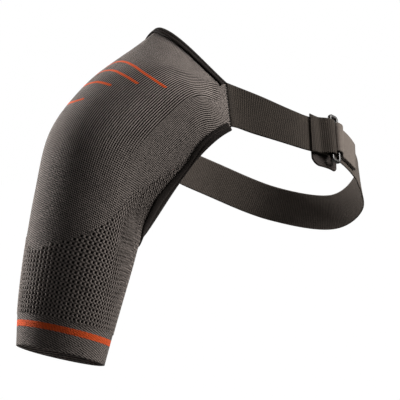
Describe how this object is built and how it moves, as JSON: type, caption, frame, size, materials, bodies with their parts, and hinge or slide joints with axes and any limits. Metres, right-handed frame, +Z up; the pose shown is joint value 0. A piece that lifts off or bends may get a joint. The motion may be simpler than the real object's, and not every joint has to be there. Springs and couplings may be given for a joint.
{
  "type": "shoulder brace",
  "caption": "Knitted shoulder brace for the right shoulder: a short sleeve with a shoulder cap, bound edges and an elastic strap round the chest that closes through a ring.",
  "frame": {"origin": "the seat on top of the shoulder, where the cap rests on the wearer", "axes": "+Z up, +X from the braced shoulder across the chest, -Y the wearer's front"},
  "size_m": [0.4654, 0.2511, 0.3982],
  "materials": {
    "knit": "ribbed and dimpled compression knit",
    "tape": "folded knitted tape",
    "elastic": "cross-ribbed elastic webbing",
    "velour": "short brushed pile",
    "padding": "laminated soft pad",
    "ring": "glossy moulded"
  },
  "bodies": {
    "root": {"knit_sleeve": "knit", "neck_binding": "tape", "armhole_binding": "tape", "front_strap": "elastic", "buckle_ring": "ring", "ring_loop": "velour", "buckle_pad": "padding", "back_strap": "elastic"}
  },
  "joints": []
}
